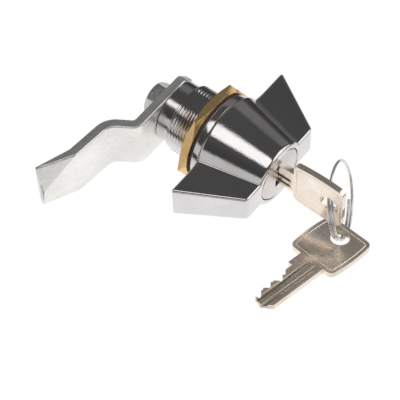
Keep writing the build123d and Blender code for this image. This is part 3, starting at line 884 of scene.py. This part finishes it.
softNodes = {
    "hex_nut": ("brassNut", "nut", nutBrass, "nut_brass", 0.12),
    "gasket": ("flangeGasket", "housing", blackRubber, "black_rubber", 0.18),
    "cam_screw": ("camScrewHead", "knob", brightSteel, "bright_steel", 0.14),
    "spring_washer": ("springWasher", "knob", brightSteel, "bright_steel", 0.1),
}
for node, (name, body, material, slotName, width) in softNodes.items():
    softenNode(cadNodes[node].data.copy(), name, body, material, slotName, width, node)


# The plug's keyway has two side steps on its left, which show as dark notches beside the key's neck.
keywayCut = {
    "front": -23.5,
    "floor": -16.0,
    # (left and right x, low and high z) of each step
    "steps": [((-2.15, 0.0), (-4.1, -1.2)), ((-1.8, 0.0), (3.3, 4.9))],
    "edge": 0.08,
}


def keywayBars(cut):
    # Each bar is a square of four corners carried from its low level to its high one, and closed there.
    bars = []
    for (left, right), levels in cut["steps"]:
        front, floor = cut["front"], cut["floor"]
        square = ((left, front), (right, front), (right, floor), (left, floor))
        rows = np.array([[(x, y, z) for x, y in square] for z in levels])
        caps = [np.broadcast_to(row.mean(0), row.shape)[None] for row in rows]
        bars.append(finishMesh(gridMesh("keywayBar", np.concatenate([caps[0], rows, caps[1]]), False, True)))
    return joinMeshes("keywayBars", bars)


plugMesh = cutAway("plug", keywayBars(keywayCut))
softenNode(plugMesh, "plugFace", "plug", satinChrome, "chrome_plate", keywayCut["edge"], "plug")


# Both keys in their own measure: a runs along the blade from the shoulder to the tip, b towards the cuts and
# c through the thickness
keyShape = {
    "bowMiddle": (-13.95, 1.9),
    "bowHalf": (8.65, 8.3),
    "bowBulge": 0.7,
    "bowCorner": 2.0,
    "borderInset": 1.25,
    "borderHalf": 0.17,
    "thickness": 1.8,
    "edge": 0.12,
    "grooveLevels": (-1.3, 1.4),
    "grooveHalf": 0.7,
    "grooveDepth": 0.42,
    "grooveRun": (-4.9, -3.4, 19.0),
    # The raised border line round the bow is real; its lighter colour and lower metal share are a painted
    # highlight
    "borderHighlightTint": (1.0, 0.93, 0.84),
    "borderHeight": 0.00012,
    "borderHighlightDulling": 0.55,
    # Colour of the painted shade in the blade's grooves
    "grooveShadeTint": (0.16, 0.10, 0.06),
    # The painted shade in the grooves starts this far under the face, and is full this much further down
    "grooveShadeDepths": (0.06, 0.22),
    # Middle and half height of the grooved part of the blade
    "grooveShadeBand": (0.05, 2.2),
}
keyPlaces = {
    "key": {
        # How strongly the painted groove shade shows on this key
        "tarnishAndGrooveShade": 0.9,
        "origin": (0.0, -22.6, 0.0),
        "along": (0, 1, 0),
        "cuts": (0, 0, 1),
        "face": (1, 0, 0),
    },
    "spare_key": {
        # How strongly the painted groove shade shows on this key
        "tarnishAndGrooveShade": 0.35,
        "origin": (-18.2, -44.1, -11.0),
        "along": (-0.97788465, 0.16293954, 0.1311195),
        "cuts": (0.14566187, 0.98047829, -0.13207932),
        "face": (-0.15008077, -0.11005923, -0.98252874),
    },
}


def grooveBars(shape, place):
    # Bars that cut both faces: each is deep along the blade and rises to the face where the groove runs out.
    half = shape["thickness"] / 2
    above, floor = half + 0.3, half - shape["grooveDepth"]
    early, deep, late = shape["grooveRun"]
    outline = [(early, above), (early, half + 0.01), (deep, floor), (late, floor), (late, above)]
    bars = []
    for side in (1, -1):
        for level in shape["grooveLevels"]:
            low, high = level - shape["grooveHalf"], level + shape["grooveHalf"]
            levels = (low, low + 0.001, high - 0.001, high)
            rows = np.array([[(a, b, side * c) for a, c in outline] for b in levels])
            rows[0], rows[-1] = rows[1].mean(0), rows[2].mean(0)
            rows[0, :, 1], rows[-1, :, 1] = low, high
            axes = np.array([place["along"], place["cuts"], place["face"]], float)
            points = rows @ axes + np.array(place["origin"])
            bars.append(finishMesh(gridMesh("grooveBar", points, False, True)))
    return joinMeshes("grooveBars", bars)


def makeKeyMetal(name, finish, shape, place):
    # Worn nickel over brass, with a raised border line round the bow that carries a painted highlight, and
    # painted shade in the blade's grooves.
    material = makeWorkedMetal(name, finish, "Y", 1100.0)
    tree = material.node_tree
    shader = tree.nodes["Principled BSDF"]
    here = tree.nodes.new("ShaderNodeTexCoord").outputs["Object"]

    def calc(operation, first, second=None, clamp=False):
        return mathNode(tree, operation, first, second, clamp)

    def measured(direction, middle):
        # Millimetres from the middle, along one of the key's own directions
        dot = tree.nodes.new("ShaderNodeVectorMath")
        dot.operation = "DOT_PRODUCT"
        dot.inputs[1].default_value = direction
        tree.links.new(here, dot.inputs[0])
        shift = float(np.dot(place["origin"], direction)) + middle
        return calc("ABSOLUTE", calc("SUBTRACT", calc("DIVIDE", dot.outputs["Value"], mm), shift))

    # The line lies where the distance inside the bow's rounded outline equals the inset; the long sides'
    # outline swells as 1 - (a / half length)^2.
    lengthwise = measured(place["along"], shape["bowMiddle"][0])
    crosswise = measured(place["cuts"], shape["bowMiddle"][1])
    swell = calc("SUBTRACT", 1.0, calc("POWER", calc("DIVIDE", lengthwise, shape["bowHalf"][0]), 2.0))
    crosswise = calc("SUBTRACT", crosswise, calc("MULTIPLY", swell, shape["bowBulge"]))
    corner, spans = shape["bowCorner"], zip((lengthwise, crosswise), shape["bowHalf"])
    beyond = [calc("SUBTRACT", value, half - corner) for value, half in spans]
    squares = [calc("POWER", calc("MAXIMUM", value, 0.0), 2.0) for value in beyond]
    reach = calc("SQRT", calc("ADD", *squares))
    within = calc("MINIMUM", calc("MAXIMUM", *beyond), 0.0)
    inside = calc("SUBTRACT", corner, calc("ADD", reach, within))
    off = calc("ABSOLUTE", calc("SUBTRACT", inside, shape["borderInset"]))
    line = calc("SUBTRACT", 1.0, calc("DIVIDE", off, shape["borderHalf"]), clamp=True)
    # Painted shade darkens the blade in its grooved band, wherever the surface is lower than the faces, more
    # strongly on the key in the lock than on the hanging one.
    (start, full), (bandMiddle, bandHalf) = shape["grooveShadeDepths"], shape["grooveShadeBand"]
    under = calc("SUBTRACT", shape["thickness"] / 2 - start, measured(place["face"], 0.0))
    sunken = calc("DIVIDE", under, full, clamp=True)
    onBlade = calc("GREATER_THAN", lengthwise, shape["bowHalf"][0])
    inBand = calc("LESS_THAN", measured(place["cuts"], bandMiddle), bandHalf)
    grooveShaded = calc("MULTIPLY", calc("MULTIPLY", sunken, onBlade), calc("MULTIPLY", inBand, place["tarnishAndGrooveShade"]))
    tint = shader.inputs["Base Color"]
    withGrooveShade = mixNode(tree, grooveShaded, tint.links[0].from_socket, shape["grooveShadeTint"])
    # Painted highlight on the border line: a lighter colour, and less metal so it reads bright under the
    # diffuse light
    tree.links.new(mixNode(tree, line, withGrooveShade, shape["borderHighlightTint"]), tint)
    metallic = calc("SUBTRACT", finish["metallic"], calc("MULTIPLY", line, shape["borderHighlightDulling"]))
    tree.links.new(metallic, shader.inputs["Metallic"])
    bump = tree.nodes.new("ShaderNodeBump")
    bump.inputs["Distance"].default_value = shape["borderHeight"]
    tree.links.new(line, bump.inputs["Height"])
    tree.links.new(shader.inputs["Normal"].links[0].from_socket, bump.inputs["Normal"])
    tree.links.new(bump.outputs["Normal"], shader.inputs["Normal"])
    return material


for node, name, body in (("key", "lockKey", "key"), ("spare_key", "hangingKey", "spare_key")):
    keyMetal = makeKeyMetal(name + "Metal", keyFinish, keyShape, keyPlaces[node])
    keyMesh = cutAway(node, grooveBars(keyShape, keyPlaces[node]))
    softenNode(keyMesh, name, body, keyMetal, "key_nickel", keyShape["edge"], node)

# The pieces inside are shown as the frame has them, each in its own finish.
slotOf = {row["node"]: row["material_slot"] for row in frame["record"]["subparts"]}
for nodeName, node in cadNodes.items():
    node.data.materials.clear()
    node.data.materials.append(satinChrome if nodeName == "plug" else finishes[slotOf[nodeName]])


# Studio

# What the metal sees: a dome whose glow depends on the direction, with soft-edged patches on it. Azimuth
# runs from +X towards +Y. The camera, the lamps' light and the shadows don't meet it.
studio = {
    "floorLevel": -60.0,
    "floorReach": 3000.0,
    "domeReach": 520.0,
    "dark": 0.055,
    "overhead": 0.075,
    # From where the overhead glow starts to beyond the top, and its soft edge
    "overheadBand": (40.0, 200.0, 20.0),
    "floorPaint": 0.86,
    "floorSeen": 0.93,
    "floorTint": (1.0, 0.99, 0.985),
    "domeTint": (1.0, 0.985, 0.97),
    "ambient": 0.6,
    "floorFar": 400.0,
    # (distance from the lock along the floor, glow there as the metal sees it)
    "floorGlow": [(0.0, 1.0), (55.0, 0.96), (95.0, 0.84), (165.0, 0.62), (196.0, 0.16), (215.0, 0.05)],
}
# Each row: middle azimuth, half width, lowest and highest elevation, soft edge across and up, glow
domePatches = [
    (180.0, 72.0, 55.0, 82.0, 16.0, 5.0, 1.25),
    (180.0, 80.0, -30.0, 18.0, 16.0, 5.0, 0.62),
    (30.0, 42.0, 6.0, 44.0, 20.0, 20.0, 0.17),
    (-57.0, 30.0, -30.0, 58.0, 10.0, 8.0, 1.2),
]


def makeFloor():
    # A pale floor. The camera sees it mostly white, the metal sees it fade with the distance, and the rest
    # of it takes the shadow.
    reach, level = studio["floorReach"], studio["floorLevel"]
    near, far = [[(x, y, level) for x in (-reach, reach)] for y in (-reach, reach)]
    mesh = gridMesh("paleFloor", np.array([near, far]))
    floor = placeObject("paleFloor", mesh)
    material, tree, shader = newMaterial("paleFloorPaint")
    shader.inputs["Base Color"].default_value = (*[studio["floorPaint"]] * 3, 1)
    shader.inputs["Roughness"].default_value = 0.9
    shader.inputs["Specular IOR Level"].default_value = 0.1
    flat = tree.nodes.new("ShaderNodeVectorMath")
    flat.operation = "MULTIPLY"
    flat.inputs[1].default_value = (1, 1, 0)
    apart = tree.nodes.new("ShaderNodeVectorMath")
    apart.operation = "LENGTH"
    tree.links.new(tree.nodes.new("ShaderNodeTexCoord").outputs["Object"], flat.inputs[0])
    tree.links.new(flat.outputs[0], apart.inputs[0])
    farEnd = studio["floorFar"]
    distance = mathNode(tree, "DIVIDE", apart.outputs["Value"], farEnd * mm, clamp=True)
    fading = rampNode(tree, distance, [(d / farEnd, glow) for d, glow in studio["floorGlow"]])
    rays = tree.nodes.new("ShaderNodeLightPath").outputs
    seen = mathNode(tree, "ADD", rays["Is Camera Ray"], rays["Is Transmission Ray"], clamp=True)
    mirrored = rays["Is Glossy Ray"]
    glow = tree.nodes.new("ShaderNodeEmission")
    glow.inputs["Color"].default_value = (*studio["floorTint"], 1)
    strength = mathNode(tree, "ADD", seen, mathNode(tree, "MULTIPLY", mirrored, fading))
    tree.links.new(strength, glow.inputs["Strength"])
    white = mathNode(tree, "MULTIPLY", seen, studio["floorSeen"])
    share = mathNode(tree, "ADD", white, mirrored, clamp=True)
    mix = tree.nodes.new("ShaderNodeMixShader")
    tree.links.new(share, mix.inputs["Fac"])
    tree.links.new(shader.outputs[0], mix.inputs[1])
    tree.links.new(glow.outputs[0], mix.inputs[2])
    tree.links.new(mix.outputs[0], tree.nodes["Material Output"].inputs["Surface"])
    mesh.materials.append(material)


def softBox(value, low, high, edge):
    # 1 between low and high, falling to 0 over the edge on each side as a smooth step.
    rise = np.clip(np.minimum(value - low, high - value) / edge + 0.5, 0, 1)
    return rise * rise * (3 - 2 * rise)


def makeDome():
    # Its rows lie close together up to 60 degrees, and wider above that.
    reach, level = studio["domeReach"], studio["floorLevel"]
    horizon = math.degrees(math.asin(level / reach))
    elevation = np.radians(np.concatenate([np.linspace(horizon, 60, 90), np.linspace(62, 89.5, 14)]))
    across, up = np.meshgrid(np.radians(np.arange(0, 360, 1.5)), elevation)
    grid = reach * np.stack([np.cos(up) * np.cos(across), np.cos(up) * np.sin(across), np.sin(up)], -1)
    overhead = softBox(np.degrees(up), *studio["overheadBand"])
    glow = studio["dark"] + (studio["overhead"] - studio["dark"]) * overhead
    for middle, half, low, high, edgeAcross, edgeUp, strength in domePatches:
        turned = np.mod(np.degrees(across) - middle + 180, 360) - 180
        inside = softBox(turned, -half, half, edgeAcross) * softBox(np.degrees(up), low, high, edgeUp)
        glow = np.maximum(glow, strength * inside)
    mesh = gridMesh("reflectionDome", grid, False, True)
    values = mesh.attributes.new("glow", "FLOAT", "POINT")
    values.data.foreach_set("value", glow.astype(np.float32).ravel())
    dome = placeObject("reflectionDome", mesh)
    material, tree = newMaterial("domeGlow")[:2]
    tree.nodes.clear()
    reader = tree.nodes.new("ShaderNodeAttribute")
    reader.attribute_name = "glow"
    emission = tree.nodes.new("ShaderNodeEmission")
    emission.inputs["Color"].default_value = (*studio["domeTint"], 1)
    tree.links.new(reader.outputs["Fac"], emission.inputs["Strength"])
    tree.links.new(emission.outputs[0], tree.nodes.new("ShaderNodeOutputMaterial").inputs["Surface"])
    mesh.materials.append(material)
    for ray in ("camera", "diffuse", "shadow", "transmission"):
        setattr(dome, "visible_" + ray, False)


makeFloor()
makeDome()

lamps = {
    "keyLamp": {"from": (-420, -260, 620), "size": 420, "watts": 5.2},
    "fillLamp": {"from": (420, -420, 380), "size": 520, "watts": 2.4},
    "backLamp": {"from": (120, 560, 420), "size": 420, "watts": 2.0},
}
for lampName, lamp in lamps.items():
    light = bpy.data.lights.new(lampName, "AREA")
    light.shape = "DISK"
    light.size = lamp["size"] * mm
    light.energy = lamp["watts"]
    holder = placeObject(lampName, light)
    holder.location = Vector(lamp["from"]) * mm
    holder.rotation_mode = "QUATERNION"
    holder.rotation_quaternion = Vector(lamp["from"]).to_track_quat("Z", "Y")
    holder.visible_glossy = False

world = bpy.data.worlds.new("paleStudio")
bpy.context.scene.world = world
world.use_nodes = True
worldTree = world.node_tree
backdrop = worldTree.nodes["Background"]
backdrop.inputs["Color"].default_value = (1, 1, 1, 1)
worldRays = worldTree.nodes.new("ShaderNodeLightPath").outputs
whiteSeen = mathNode(worldTree, "ADD", worldRays["Is Camera Ray"], worldRays["Is Glossy Ray"], clamp=True)
whiteSeen = mathNode(worldTree, "ADD", whiteSeen, worldRays["Is Transmission Ray"], clamp=True)
extra = mathNode(worldTree, "MULTIPLY", whiteSeen, 1 - studio["ambient"])
worldGlow = mathNode(worldTree, "ADD", extra, studio["ambient"])
worldTree.links.new(worldGlow, backdrop.inputs["Strength"])
print("studio made")


# Camera, as fitted to the photograph: where it looks from, its roll and its lens
cameraFit = {
    "azimuth": -49.818,
    "elevation": 56.366,
    "roll": -2.526,
    "distance": 499.74,
    "focalPixels": 1677.951,
    "pictureWidth": 400,
    "shiftRight": 5.735,
    "shiftUp": 18.821,
}


def makeCamera(fit):
    azimuth, elevation, roll = (math.radians(fit[key]) for key in ("azimuth", "elevation", "roll"))
    back = Vector((
        math.sin(azimuth) * math.cos(elevation),
        -math.cos(azimuth) * math.cos(elevation),
        math.sin(elevation),
    ))
    level = Vector((math.cos(azimuth), math.sin(azimuth), 0))
    upright = back.cross(level)
    right = level * math.cos(roll) + upright * math.sin(roll)
    up = upright * math.cos(roll) - level * math.sin(roll)
    lens = bpy.data.cameras.new("photoCamera")
    lens.sensor_width = 36.0
    lens.lens = fit["focalPixels"] * lens.sensor_width / fit["pictureWidth"]
    lens.clip_start, lens.clip_end = 0.01, 20.0
    camera = placeObject("photoCamera", lens)
    place = (back * fit["distance"] - right * fit["shiftRight"] - up * fit["shiftUp"]) * mm
    turned = Matrix((right, up, back)).transposed().to_4x4()
    camera.matrix_world = Matrix.Translation(place) @ turned
    bpy.context.scene.camera = camera


makeCamera(cameraFit)
bpy.context.scene.view_settings.view_transform = "Standard"
print("camera made")
